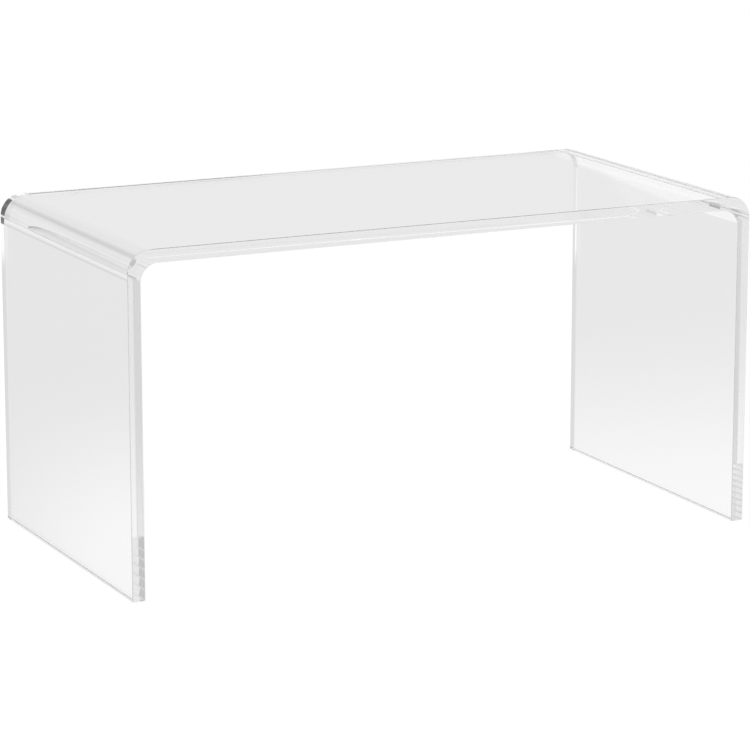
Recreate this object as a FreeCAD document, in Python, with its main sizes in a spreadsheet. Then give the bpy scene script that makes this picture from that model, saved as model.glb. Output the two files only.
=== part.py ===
import FreeCAD, Part
import os
import Sketcher

# Waterfall coffee table, in millimetres.
# One sheet of clear cast acrylic is heated along two lines and bent down at both ends, so that
# the top and the two legs are one piece with no joint. Its sawn edges are eased and polished.
# Four clear adhesive pads under the leg ends keep the polished edges off the floor.
# +X runs along the table, +Y towards its back, +Z up. The origin is on the floor, under the
# middle of the top.

SIZES = [
    ("overall_length", 812.8, "outside of one leg to the outside of the other, 32 in"),
    ("overall_depth", 406.4, "front edge of the sheet to its back edge, 16 in"),
    ("sheet_height", 406.4, "leg ends to the top face, 16 in"),
    ("sheet_thickness", 15.875, "thickness of the acrylic sheet, 5/8 in"),
    ("inner_bend_radius", 22.225, "radius under each bend, 7/8 in"),
    ("outer_bend_radius", 26.3, "radius over each bend"),
    ("eased_edge_radius", 0.8, "rounding of the polished edges"),
    ("pad_diameter", 9.5, "diameter of a floor pad"),
    ("pad_height", 1.6, "thickness of a floor pad"),
    ("pad_rim_radius", 0.5, "rounding of the lower rim of a pad"),
    ("pad_inset", 25.4, "sheet's front or back edge to the middle of the nearest pad"),
]

NEAR = 1e-4  # two coordinates closer than this are the same


doc = FreeCAD.newDocument("waterfall_coffee_table")
sizes = doc.addObject("Spreadsheet::Sheet", "Sizes")
for row, (alias, value, meaning) in enumerate(SIZES, start=1):
    sizes.set(f"A{row}", alias)
    sizes.set(f"B{row}", str(value))
    sizes.set(f"C{row}", meaning)
    sizes.setAlias(f"B{row}", alias)
doc.recompute()


def origin_plane(body, role):
    """One of the body's own base planes, by its role."""
    return next(plane for plane in body.Origin.OriginFeatures if plane.Role == role)


def new_sketch(body, name, role):
    sketch = body.newObject("Sketcher::SketchObject", name)
    sketch.AttachmentSupport = (origin_plane(body, role), [""])
    sketch.MapMode = "FlatFace"
    return sketch


def edge_names(shape, wanted):
    """Names of the edges whose bounding box passes the test."""
    return [f"Edge{i}" for i, edge in enumerate(shape.Edges, start=1) if wanted(edge.BoundBox)]


def round_edges(body, name, base, wanted, radius):
    """A fillet on the chosen edges of the feature base, its radius bound to a cell."""
    doc.recompute()
    fillet = body.newObject("PartDesign::Fillet", name)
    fillet.Base = (base, edge_names(base.Shape, wanted))
    fillet.setExpression("Radius", radius)
    base.Visibility = False
    return fillet


# ---------------------------------------------------------------------------------------------
# The bent sheet: its side view is a U turned upside down, drawn with square corners on the
# XZ plane, drawn out over the depth and then rounded at the bends. The bend is a little
# thicker than the sheet, because the outer radius is less than inner radius plus thickness.
# ---------------------------------------------------------------------------------------------
sheet = doc.addObject("PartDesign::Body", "bent_sheet")
profile = new_sketch(sheet, "side_profile", "XZ_Plane")

half_length = sizes.overall_length / 2
inner_half = half_length - sizes.sheet_thickness
underside = sizes.sheet_height - sizes.sheet_thickness
corners = [
    (-half_length, 0),
    (-half_length, sizes.sheet_height),
    (half_length, sizes.sheet_height),
    (half_length, 0),
    (inner_half, 0),
    (inner_half, underside),
    (-inner_half, underside),
    (-inner_half, 0),
]
points = [FreeCAD.Vector(x, z, 0) for x, z in corners]
outline = [
    profile.addGeometry(Part.LineSegment(start, end), False)
    for start, end in zip(points, points[1:] + points[:1])
]
(
    LEFT_OUTSIDE,
    TOP_FACE,
    RIGHT_OUTSIDE,
    RIGHT_END,
    RIGHT_INSIDE,
    UNDERSIDE,
    LEFT_INSIDE,
    LEFT_END,
) = outline

START, END, CENTRE = range(1, 4)  # the points of a line or circle, as a sketch counts them
ORIGIN = (-1, START)  # the sketch's horizontal axis, and its start, which is the origin
for line, following in zip(outline, outline[1:] + outline[:1]):
    profile.addConstraint(Sketcher.Constraint("Coincident", line, END, following, START))
for line in (TOP_FACE, UNDERSIDE, LEFT_END):
    profile.addConstraint(Sketcher.Constraint("Horizontal", line))
for line in (LEFT_OUTSIDE, RIGHT_OUTSIDE, LEFT_INSIDE, RIGHT_INSIDE):
    profile.addConstraint(Sketcher.Constraint("Vertical", line))
# both leg ends stand on the sketch's horizontal axis, evenly about its origin
profile.addConstraint(Sketcher.Constraint("PointOnObject", LEFT_OUTSIDE, START, ORIGIN[0]))
profile.addConstraint(
    Sketcher.Constraint("Symmetric", LEFT_OUTSIDE, START, RIGHT_OUTSIDE, END, *ORIGIN)
)
profile.addConstraint(
    Sketcher.Constraint("Symmetric", LEFT_INSIDE, END, RIGHT_INSIDE, START, *ORIGIN)
)


def dimension(name, kind, where, cell):
    """A named driving dimension of the side profile, bound to a cell."""
    index = profile.addConstraint(Sketcher.Constraint(kind, *where, sizes.get(cell)))
    profile.renameConstraint(index, name)
    profile.setExpression(f"Constraints.{name}", f"Sizes.{cell}")


dimension("length", "DistanceX", (TOP_FACE, START, TOP_FACE, END), "overall_length")
dimension("height", "DistanceY", (LEFT_OUTSIDE, START, LEFT_OUTSIDE, END), "sheet_height")
dimension("leg", "DistanceX", (RIGHT_INSIDE, START, RIGHT_OUTSIDE, END), "sheet_thickness")
dimension("top", "DistanceY", (UNDERSIDE, START, TOP_FACE, END), "sheet_thickness")

drawn_out = sheet.newObject("PartDesign::Pad", "drawn_out")
drawn_out.Profile = profile
drawn_out.SideType = "Symmetric"
drawn_out.setExpression("Length", "Sizes.overall_depth")
profile.Visibility = False


def runs_across(box):
    """An edge along the depth, at a fixed length and height."""
    return box.XLength < NEAR and box.ZLength < NEAR


def over_a_bend(box):
    return runs_across(box) and abs(box.ZMax - sizes.sheet_height) < NEAR


def under_a_bend(box):
    return runs_across(box) and abs(box.ZMax - underside) < NEAR


def sawn_edge(box):
    """The outlines of the front and back faces, and the long edges of the leg ends."""
    return box.YLength < NEAR or box.ZMax < NEAR


outer_bends = round_edges(sheet, "outer_bends", drawn_out, over_a_bend, "Sizes.outer_bend_radius")
inner_bends = round_edges(sheet, "inner_bends", outer_bends, under_a_bend, "Sizes.inner_bend_radius")
eased_edges = round_edges(sheet, "eased_edges", inner_bends, sawn_edge, "Sizes.eased_edge_radius")
sheet.setExpression("Placement.Base.z", "Sizes.pad_height")

# ---------------------------------------------------------------------------------------------
# The floor pads: four small discs of clear polyurethane with their own adhesive, one near each
# end of each leg. A disc sits in the middle of the leg's thickness, on the leg's end face.
# ---------------------------------------------------------------------------------------------
LEG_SIDES = {"left": "-", "right": ""}
DEPTH_SIDES = {"front": "-", "back": ""}


def floor_pad(name, side_sign, depth_sign):
    pad = doc.addObject("PartDesign::Body", name)
    circle = new_sketch(pad, f"{name}_circle", "XY_Plane")
    up = FreeCAD.Vector(0, 0, 1)
    rim = circle.addGeometry(Part.Circle(FreeCAD.Vector(), up, sizes.pad_diameter / 2), False)
    circle.addConstraint(Sketcher.Constraint("Coincident", rim, CENTRE, *ORIGIN))
    index = circle.addConstraint(Sketcher.Constraint("Diameter", rim, sizes.pad_diameter))
    circle.renameConstraint(index, "diameter")
    circle.setExpression("Constraints.diameter", "Sizes.pad_diameter")

    disc = pad.newObject("PartDesign::Pad", f"{name}_disc")
    disc.Profile = circle
    disc.setExpression("Length", "Sizes.pad_height")
    circle.Visibility = False
    round_edges(pad, f"{name}_rim", disc, lambda box: box.ZMax < NEAR, "Sizes.pad_rim_radius")

    pad.setExpression(
        "Placement.Base.x", f"{side_sign}(Sizes.overall_length - Sizes.sheet_thickness) / 2"
    )
    pad.setExpression(
        "Placement.Base.y", f"{depth_sign}(Sizes.overall_depth / 2 - Sizes.pad_inset)"
    )
    return pad


floor_pads = [
    floor_pad(f"floor_pad_{side}_{depth}", side_sign, depth_sign)
    for side, side_sign in LEG_SIDES.items()
    for depth, depth_sign in DEPTH_SIDES.items()
]

# ---------------------------------------------------------------------------------------------
# Check every feature, then write one STEP file for each piece.
# ---------------------------------------------------------------------------------------------
doc.recompute()
failed = [item.Name for item in doc.Objects if {"Invalid", "Error"} & set(item.State)]
if failed:
    raise RuntimeError(f"features that failed: {failed}")

pieces = [sheet] + floor_pads
for piece in pieces:
    if piece.Shape.isNull() or not piece.Shape.isValid():
        raise RuntimeError(f"{piece.Label} has no valid shape")

os.makedirs("parts", exist_ok=True)
for piece in pieces:
    piece.Shape.exportStep(f"parts/{piece.Label}.step")
    print(f"{piece.Label}: {piece.Shape.Volume:.1f} mm3, {len(piece.Shape.Solids)} solid")
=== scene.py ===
import bpy
import math
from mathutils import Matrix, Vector


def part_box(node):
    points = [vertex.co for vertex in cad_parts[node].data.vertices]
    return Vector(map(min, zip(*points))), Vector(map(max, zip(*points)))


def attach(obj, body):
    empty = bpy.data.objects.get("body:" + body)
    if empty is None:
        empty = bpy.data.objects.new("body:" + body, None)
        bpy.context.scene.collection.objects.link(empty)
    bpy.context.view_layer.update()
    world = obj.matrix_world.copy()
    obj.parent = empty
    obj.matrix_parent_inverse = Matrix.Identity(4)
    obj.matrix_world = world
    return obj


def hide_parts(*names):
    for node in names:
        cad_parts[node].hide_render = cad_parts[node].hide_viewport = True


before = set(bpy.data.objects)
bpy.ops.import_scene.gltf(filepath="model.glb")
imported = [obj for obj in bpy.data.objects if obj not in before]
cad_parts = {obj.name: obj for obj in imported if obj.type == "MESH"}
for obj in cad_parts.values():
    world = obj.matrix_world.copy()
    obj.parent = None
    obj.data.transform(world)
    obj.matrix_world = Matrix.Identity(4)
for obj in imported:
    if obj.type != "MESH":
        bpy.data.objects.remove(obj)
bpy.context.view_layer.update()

# ---------------------------------------------------------------------------------------------
# Camera: a long lens, a little above the table and to the left of its front, looking down.
# ---------------------------------------------------------------------------------------------
CAMERA_PLACE = Vector((-1.8428, -3.7477, 1.1429))
CAMERA_YAW = math.radians(26.189)  # from +Y towards +X
CAMERA_PITCH = math.radians(12.927)  # below the horizon
SENSOR_WIDTH = 36.0  # mm
CAMERA_LENS = 167.8  # mm
CAMERA_REACH = 60.0  # beyond the far edge of the floor

bpy.ops.object.camera_add(
    location=CAMERA_PLACE, rotation=(math.pi / 2 - CAMERA_PITCH, 0, -CAMERA_YAW)
)
camera = bpy.context.object
camera.name = "camera"
camera.data.lens = CAMERA_LENS
camera.data.sensor_width = SENSOR_WIDTH
camera.data.clip_end = CAMERA_REACH
bpy.context.scene.camera = camera


# ---------------------------------------------------------------------------------------------
# Studio: a white sweep of floor, and a pale tent over it that is hung with panels and is open and
# dark behind the camera. The sheet is clear, so what it shows is the level of these panels, bent
# by its faces and edges. Only the camera sees the floor and the tent as plain white.
# ---------------------------------------------------------------------------------------------
class Wire:
    """A node's output. Python's own operators add the Math nodes that work a sum out."""

    def __init__(self, tree, socket):
        self.tree = tree
        self.socket = socket

    def node(self, kind, inputs, output=0, **settings):
        """Adds a node of that kind: its settings first, then the values or wires of its inputs."""
        made = self.tree.nodes.new(kind)
        for name, value in settings.items():
            setattr(made, name, value)
        for name, value in inputs.items():
            if isinstance(value, Wire):
                self.tree.links.new(value.socket, made.inputs[name])
            else:
                made.inputs[name].default_value = value
        return None if output is None else Wire(self.tree, made.outputs[output])

    def sum(self, operation, first, second):
        return self.node("ShaderNodeMath", {0: first, 1: second}, operation=operation)

    def __add__(self, other):
        return self.sum("ADD", self, other)

    def __radd__(self, other):
        return self.sum("ADD", other, self)

    def __sub__(self, other):
        return self.sum("SUBTRACT", self, other)

    def __rsub__(self, other):
        return self.sum("SUBTRACT", other, self)

    def __mul__(self, other):
        return self.sum("MULTIPLY", self, other)

    def __rmul__(self, other):
        return self.sum("MULTIPLY", other, self)

    def between(self, low, high, at_low, at_high):
        """Goes smoothly from at_low to at_high as the value goes from low to high."""
        ends = {"From Min": low, "From Max": high, "To Min": at_low, "To Max": at_high}
        return self.node(
            "ShaderNodeMapRange", {"Value": self, **ends}, interpolation_type="SMOOTHSTEP"
        )

    def within(self, low, high, soft):
        """Is 1 between low and high and 0 outside them, with edges that are soft on each side."""
        inside = 1.0
        if low is not None:
            inside = inside * self.between(low - soft, low + soft, 0.0, 1.0)
        if high is not None:
            inside = inside * self.between(high - soft, high + soft, 1.0, 0.0)
        return inside

    def part(self, axis):
        """The X, Y or Z of a vector."""
        return self.node("ShaderNodeSeparateXYZ", {"Vector": self}, output=axis)


def emptied(owner):
    """A wire into the node tree of a material or world, with nothing else in it."""
    owner.use_nodes = True
    owner.node_tree.nodes.clear()
    return Wire(owner.node_tree, None)


def camera_ray(tree):
    """Is 1 for a ray that comes straight from the camera, and 0 for every other ray."""
    return tree.node("ShaderNodeLightPath", {}, output="Is Camera Ray")


WHITE = (1.0, 1.0, 1.0, 1.0)
MOST_BOUNCES = 64  # light that enters a sawn edge crosses the sheet many times before it leaves

scene = bpy.context.scene
scene.view_settings.view_transform = "Standard"
scene.cycles.max_bounces = MOST_BOUNCES
scene.cycles.glossy_bounces = MOST_BOUNCES
scene.cycles.transmission_bounces = MOST_BOUNCES

room = bpy.data.worlds.new("pale_tent")
scene.world = room
tent = emptied(room)
heading = tent.node("ShaderNodeTexCoord", {}, output="Generated")
rightward, backward, upward = (heading.part(axis) for axis in "XYZ")

# The panels at the back of the tent and at its front, each in front of the ones above it: its
# level, the range of headings that it spans across and up, how soft its side edges and its upper
# and lower edges are, and how much the last two climb to the right. An edge that is None lies
# beyond what the sheet can show.
BACK_WALL = 0.83
BACK_PANELS = {
    "panel to the right": (0.97, (0.15, None), (None, -0.0792), 0.05, 0.0008, 0.5),
    "wall under it": (BACK_WALL, (0.15, None), (None, 0.0), 0.05, 0.01, 0.0),
    "floor to the left": (0.7, (None, -0.02), (None, -0.1), 0.1, 0.01, 0.0),
    "pool of light at the left": (0.84, (None, -0.02), (None, -0.25), 0.1, 0.025, 0.0),
    "wall to the left": (0.75, (None, -0.02), (-0.1, None), 0.1, 0.01, 0.0),
    "lamp at the far left": (0.92, (None, -0.46), (0.2, 0.25), 0.01, 0.01, 0.0),
    "shade at the far left": (0.42, (None, -0.46), (-0.1, 0.2), 0.01, 0.01, 0.0),
    "shade at the left": (0.55, (-0.44, -0.34), (-0.1, 0.31), 0.01, 0.01, 0.0),
    "pool of light at the right": (0.97, (0.34, None), (-0.38, -0.28), 0.02, 0.027, 0.1),
    "light gap at the right": (0.88, (0.15, 0.44), (-0.072, 0.0), 0.02, 0.008, 0.0),
    "skirting at the right": (0.71, (0.31, 0.41), (-0.162, -0.082), 0.01, 0.008, 0.0),
    "shade overhead": (0.4, (None, None), (0.46, 0.57), 0.01, 0.02, 0.0),
    "light overhead": (0.85, (-0.13, 0.27), (0.31, 0.46), 0.02, 0.02, 0.0),
    "dark seam overhead": (0.45, (-0.28, -0.13), (0.27, 0.43), 0.01, 0.01, 0.0),
    "dark ceiling": (0.08, (0.32, 0.52), (0.5, 0.97), 0.02, 0.02, 0.0),
    "mat behind the table": (0.08, (0.32, 0.52), (-0.97, -0.5), 0.02, 0.02, 0.0),
    "drape at the right": (0.6, (0.58, 0.8), (-0.35, 0.35), 0.01, 0.02, 0.0),
    "drape at the left": (0.6, (-0.8, -0.58), (-0.35, 0.35), 0.01, 0.02, 0.0),
}
FRONT_FLOOR = 1.1
FRONT_PANELS = {
    "grey floor": (0.72, (None, None), (-0.28, -0.155), 0.01, 0.01, 0.0),
    "bright end of the floor": (1.05, (None, 0.4825), (-0.19, -0.155), 0.001, 0.004, 0.0),
    "shade beside the opening": (0.6, (0.4, 0.56), (-0.155, 0.5), 0.01, 0.004, 0.0),
    "gap beside the opening": (0.02, (0.481, 0.56), (0.1, 0.16), 0.003, 0.005, 0.0),
    "opening": (0.05, (None, 0.405), (-0.155, 0.5), 0.01, 0.004, 0.0),
    "strip lamp in the opening": (1.0, (None, 0.56), (0.165, 0.215), 0.01, 0.01, 0.0),
    "dark above the strip lamp": (0.2, (None, 0.56), (0.225, 0.5), 0.02, 0.01, 0.0),
    "wall to the left": (1.0, (None, -0.28), (-0.12, 0.5), 0.02, 0.02, 0.0),
}


def hung(level, panels):
    """The tent's level on one side, with the panels of that side hung in turn."""
    for panel_level, across, up, soft_side, soft_top, climb in panels.values():
        cover = 1.0
        if across != (None, None):
            cover = cover * rightward.within(*across, soft_side)
        if up != (None, None):
            cover = cover * (upward - climb * rightward).within(*up, soft_top)
        level = level * (1 - cover) + panel_level * cover
    return level


SIDES_BLEND = 0.1  # how far to each side of the middle the back and the front blend
to_back = backward.between(-SIDES_BLEND, SIDES_BLEND, 0.0, 1.0)
back_level = hung(BACK_WALL, BACK_PANELS)
front_level = hung(FRONT_FLOOR, FRONT_PANELS)
tent_level = back_level * to_back + front_level * (1 - to_back)
seen = camera_ray(tent)
tent_level = tent_level * (1 - seen) + seen
background = tent.node("ShaderNodeBackground", {"Color": WHITE, "Strength": tent_level})
tent.node("ShaderNodeOutputWorld", {"Surface": background}, output=None)

FLOOR_SIZE = 30.0
FLOOR_LEVEL = -0.0002  # just under the pads, so that no two faces coincide
FLOOR_GLOW = 0.97
FLOOR_COLOUR = (0.05, 0.05, 0.05, 1.0)
bpy.ops.object.select_all(action="DESELECT")
bpy.ops.mesh.primitive_plane_add(size=FLOOR_SIZE, location=(0, 0, FLOOR_LEVEL))
floor = bpy.context.object
floor.name = "floor"
bpy.ops.object.transform_apply(location=True)
floor_white = bpy.data.materials.new("floor_white")
floor.data.materials.append(floor_white)
sweep = emptied(floor_white)
shining = sweep.node("ShaderNodeEmission", {"Color": WHITE, "Strength": FLOOR_GLOW})
matt = sweep.node("ShaderNodeBsdfDiffuse", {"Color": FLOOR_COLOUR})
white = sweep.node("ShaderNodeAddShader", {0: shining, 1: matt})
clear = sweep.node("ShaderNodeBsdfTransparent", {"Color": WHITE})
seen = camera_ray(sweep)
surface = sweep.node("ShaderNodeMixShader", {0: seen, 1: clear, 2: white})
sweep.node("ShaderNodeOutputMaterial", {"Surface": surface}, output=None)

# ---------------------------------------------------------------------------------------------
# Bent sheet: clear cast acrylic, 5/8 in thick, softened along two lines and bent down to make
# the legs. Its faces are as cast, and its sawn edges are eased and polished.
# ---------------------------------------------------------------------------------------------
SHEET_THICKNESS = 0.015875
INNER_BEND_RADIUS = 0.022225
OUTER_BEND_RADIUS = 0.0263
EASED_EDGE_RADIUS = 0.0008
BEND_STEPS = 64
EDGE_STEPS = 3
SQUARE_ENOUGH = math.radians(60)  # an edge that turns more than this is eased
SHEET_SMOOTH_UNDER = math.radians(50)  # an edge that turns less than this is shaded smooth
NEAR = 1e-5  # two places closer than this are the same

sheet_low, sheet_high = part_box("bent_sheet")
length, depth, tall = sheet_high - sheet_low
middle = (sheet_low + sheet_high) / 2


def pick(piece, kind, wanted):
    """Edit mode, with only those vertices or faces selected whose place passes the test."""
    bpy.ops.object.mode_set(mode="EDIT")
    bpy.ops.mesh.select_mode(type=kind)
    bpy.ops.mesh.select_all(action="DESELECT")
    bpy.ops.object.mode_set(mode="OBJECT")
    for vertex in piece.data.vertices if kind == "VERT" else ():
        vertex.select = wanted(vertex.co)
    for face in piece.data.polygons if kind == "FACE" else ():
        face.select = wanted(face.center)
    bpy.ops.object.mode_set(mode="EDIT")


# the side view: a square, inset by the thickness and opened at the bottom to leave a U
bpy.ops.object.select_all(action="DESELECT")
bpy.ops.mesh.primitive_plane_add(
    size=1, location=(middle.x, sheet_low.y, middle.z), rotation=(math.pi / 2, 0, 0)
)
sheet = bpy.context.object
sheet.name = "bent_acrylic_sheet"
sheet.scale = (length, tall, 1)
bpy.ops.object.transform_apply(location=True, rotation=True, scale=True)
bpy.ops.object.mode_set(mode="EDIT")
bpy.ops.mesh.select_all(action="SELECT")
bpy.ops.mesh.inset(thickness=SHEET_THICKNESS)
bpy.ops.mesh.delete(type="FACE")
pick(sheet, "FACE", lambda place: place.z < sheet_low.z + SHEET_THICKNESS)
bpy.ops.mesh.delete(type="FACE")
pick(sheet, "VERT", lambda place: 0 < place.z - sheet_low.z < SHEET_THICKNESS + NEAR)
bpy.ops.transform.translate(value=(0, 0, -SHEET_THICKNESS))
bpy.ops.mesh.select_all(action="SELECT")
bpy.ops.mesh.dissolve_faces()

# the bends: the U's four upper corners are rounded, the outer pair and then the inner pair
pick(sheet, "VERT", lambda place: place.z > sheet_high.z - NEAR)
bpy.ops.mesh.bevel(offset=OUTER_BEND_RADIUS, segments=BEND_STEPS, affect="VERTICES")
underside = sheet_high.z - SHEET_THICKNESS
inner_half = length / 2 - SHEET_THICKNESS
pick(
    sheet,
    "VERT",
    lambda place: abs(place.z - underside) < NEAR and abs(abs(place.x) - inner_half) < NEAR,
)
bpy.ops.mesh.bevel(offset=INNER_BEND_RADIUS, segments=BEND_STEPS, affect="VERTICES")

# the U is drawn out over the depth
bpy.ops.mesh.select_all(action="SELECT")
bpy.ops.mesh.extrude_region_move(TRANSFORM_OT_translate={"value": (0, depth, 0)})
bpy.ops.mesh.select_all(action="SELECT")
bpy.ops.mesh.normals_make_consistent(inside=False)
bpy.ops.object.mode_set(mode="OBJECT")


def eased(piece, width, steps):
    """Rounds the square edges of a piece, and lets its wide faces keep their own normals."""
    bpy.ops.object.select_all(action="DESELECT")
    piece.select_set(True)
    bpy.context.view_layer.objects.active = piece
    round_over = piece.modifiers.new("eased_edges", "BEVEL")
    round_over.width = width
    round_over.segments = steps
    round_over.limit_method = "ANGLE"
    round_over.angle_limit = SQUARE_ENOUGH
    bpy.ops.object.modifier_apply(modifier=round_over.name)
    bpy.ops.object.shade_smooth_by_angle(angle=SHEET_SMOOTH_UNDER)
    weighted = piece.modifiers.new("flat_faces", "WEIGHTED_NORMAL")
    weighted.mode = "FACE_AREA"
    weighted.keep_sharp = True
    bpy.ops.object.modifier_apply(modifier=weighted.name)


eased(sheet, EASED_EDGE_RADIUS, EDGE_STEPS)

ACRYLIC_INDEX = 1.49
HALF_GREY = (0.5, 0.5, 0.5, 1.0)
ACRYLIC_ABSORPTION = 0.1  # of the light for each metre that it goes through the sheet
SMEAR_ROUGHNESS = 0.03
SCRATCH_ROUGHNESS = 0.12
SWELL_HEIGHT = 1e-6

clear_acrylic = bpy.data.materials.new("clear_acrylic")
sheet.data.materials.append(clear_acrylic)
acrylic_tree = emptied(clear_acrylic)
spot = acrylic_tree.node("ShaderNodeTexCoord", {}, output="Object")


def cloud(place, waves, detail, squeeze=(1.0, 1.0, 1.0)):
    """Noise from 0 to 1. A wave is 1 / waves of a metre long, divided by squeeze on each axis."""
    squeezed = place.node("ShaderNodeMapping", {"Vector": place, "Scale": squeeze})
    return place.node(
        "ShaderNodeTexNoise", {"Vector": squeezed, "Scale": waves, "Detail": detail}, output="Fac"
    )


# wiped smears lie where one cloud is densest
smears = cloud(spot, waves=7.0, detail=4.0, squeeze=(1.0, 2.5, 1.0))
smeared = smears.between(low=0.6, high=0.8, at_low=0.0, at_high=SMEAR_ROUGHNESS)
# hairline scratches are the level lines of two stretched clouds, in the patches that are worn
along = cloud(spot, waves=300.0, detail=1.0, squeeze=(0.03, 1.0, 1.0))
across = cloud(spot, waves=260.0, detail=1.0, squeeze=(1.0, 0.04, 1.0))
scratched = along.within(low=0.497, high=0.503, soft=0.002)
scratched = scratched + across.within(low=0.498, high=0.502, soft=0.001)
patches = cloud(spot, waves=14.0, detail=2.0)
worn = patches.between(low=0.6, high=0.7, at_low=0.0, at_high=SCRATCH_ROUGHNESS)
# the sheet isn't perfectly flat: its cast faces swell and sink by a micron
swell = cloud(spot, waves=22.0, detail=2.0)
uneven = spot.node(
    "ShaderNodeBump", {"Strength": 1.0, "Distance": SWELL_HEIGHT, "Height": swell}
)
body = acrylic_tree.node(
    "ShaderNodeBsdfPrincipled",
    {
        "Base Color": WHITE,
        "Roughness": smeared + scratched * worn,
        "IOR": ACRYLIC_INDEX,
        "Transmission Weight": 1.0,
        "Normal": uneven,
    },
)
clear_depth = acrylic_tree.node(
    "ShaderNodeVolumeAbsorption", {"Color": HALF_GREY, "Density": 2 * ACRYLIC_ABSORPTION}
)
acrylic_tree.node(
    "ShaderNodeOutputMaterial", {"Surface": body, "Volume": clear_depth}, output=None
)

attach(sheet, "root")
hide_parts("bent_sheet")

# ---------------------------------------------------------------------------------------------
# Floor pads: four discs of clear polyurethane with a rounded lower rim. Each is stuck on by a
# film of adhesive a little smaller than itself, just under the middle of the leg end.
# ---------------------------------------------------------------------------------------------
PAD_SIDES = 48
PAD_RIM_RADIUS = 0.0005
PAD_RIM_STEPS = 6
PAD_SHOULDER_RADIUS = 0.00015
PAD_SHOULDER_STEPS = 3
PAD_SMOOTH_UNDER = math.radians(40)
FILM_MARGIN = 0.0004  # bare rim of the disc around the film
FILM_THICKNESS = 0.00005
FILM_CLEARANCE = 0.00001  # between the film and the leg end
POLYURETHANE_INDEX = 1.5
POLYURETHANE_COLOUR = (0.97, 0.975, 0.97, 1.0)
PAD_ROUGHNESS = 0.12
PAD_GRIT_ROUGHNESS = 0.35
PAD_GRAIN_HEIGHT = 0.00002
PAD_GRAIN_STRENGTH = 0.4
PAD_ENDS = ("left_front", "left_back", "right_front", "right_back")

clear_polyurethane = bpy.data.materials.new("clear_polyurethane")
pad_tree = emptied(clear_polyurethane)
spot = pad_tree.node("ShaderNodeTexCoord", {}, output="Object")
grain = cloud(spot, waves=4000.0, detail=2.0)
satin = spot.node(
    "ShaderNodeBump",
    {"Strength": PAD_GRAIN_STRENGTH, "Distance": PAD_GRAIN_HEIGHT, "Height": grain},
)
grit = cloud(spot, waves=900.0, detail=3.0)
gritty = grit.between(low=0.5, high=0.75, at_low=PAD_ROUGHNESS, at_high=PAD_GRIT_ROUGHNESS)
body = pad_tree.node(
    "ShaderNodeBsdfPrincipled",
    {
        "Base Color": POLYURETHANE_COLOUR,
        "Roughness": gritty,
        "IOR": POLYURETHANE_INDEX,
        "Transmission Weight": 1.0,
        "Normal": satin,
    },
)
pad_tree.node("ShaderNodeOutputMaterial", {"Surface": body}, output=None)

# the first pad is modelled from the floor up: the disc, then the film on it
pad_low, pad_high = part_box(f"floor_pad_{PAD_ENDS[0]}")
radius = (pad_high.x - pad_low.x) / 2
middle = (pad_low + pad_high) / 2
shoulder = pad_high.z - FILM_THICKNESS - FILM_CLEARANCE
bpy.ops.object.select_all(action="DESELECT")
bpy.ops.mesh.primitive_circle_add(
    vertices=PAD_SIDES, radius=radius, fill_type="NGON", location=(middle.x, middle.y, pad_low.z)
)
first_pad = bpy.context.object
bpy.ops.object.transform_apply(location=True)
bpy.ops.object.mode_set(mode="EDIT")
bpy.ops.mesh.select_all(action="SELECT")
rise = (0, 0, shoulder - pad_low.z)
bpy.ops.mesh.extrude_region_move(TRANSFORM_OT_translate={"value": rise})
bpy.ops.mesh.inset(thickness=FILM_MARGIN)
bpy.ops.mesh.extrude_region_move(TRANSFORM_OT_translate={"value": (0, 0, FILM_THICKNESS)})

# its lower rim is rounded, and then the shoulder of the disc around the film
pick(first_pad, "VERT", lambda place: place.z < pad_low.z + NEAR)
bpy.ops.mesh.bevel(offset=PAD_RIM_RADIUS, segments=PAD_RIM_STEPS, affect="EDGES")


def on_the_shoulder(place):
    from_axis = (place - middle).to_2d().length
    return abs(place.z - shoulder) < NEAR and from_axis > radius - NEAR


pick(first_pad, "VERT", on_the_shoulder)
bpy.ops.mesh.bevel(offset=PAD_SHOULDER_RADIUS, segments=PAD_SHOULDER_STEPS, affect="EDGES")
bpy.ops.mesh.select_all(action="SELECT")
bpy.ops.mesh.normals_make_consistent(inside=False)
bpy.ops.object.mode_set(mode="OBJECT")
bpy.ops.object.shade_smooth_by_angle(angle=PAD_SMOOTH_UNDER)
first_pad.data.materials.append(clear_polyurethane)

# the others are copies of it, each moved under its own end of a leg
pads = {PAD_ENDS[0]: first_pad}
for end in PAD_ENDS[1:]:
    pad = first_pad.copy()
    pad.data = first_pad.data.copy()
    bpy.context.collection.objects.link(pad)
    bpy.ops.object.select_all(action="DESELECT")
    pad.select_set(True)
    bpy.context.view_layer.objects.active = pad
    pad.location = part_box(f"floor_pad_{end}")[0] - pad_low
    bpy.ops.object.transform_apply(location=True)
    pads[end] = pad

for end, pad in pads.items():
    pad.name = f"clear_pad_{end}"
    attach(pad, "root")
    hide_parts(f"floor_pad_{end}")
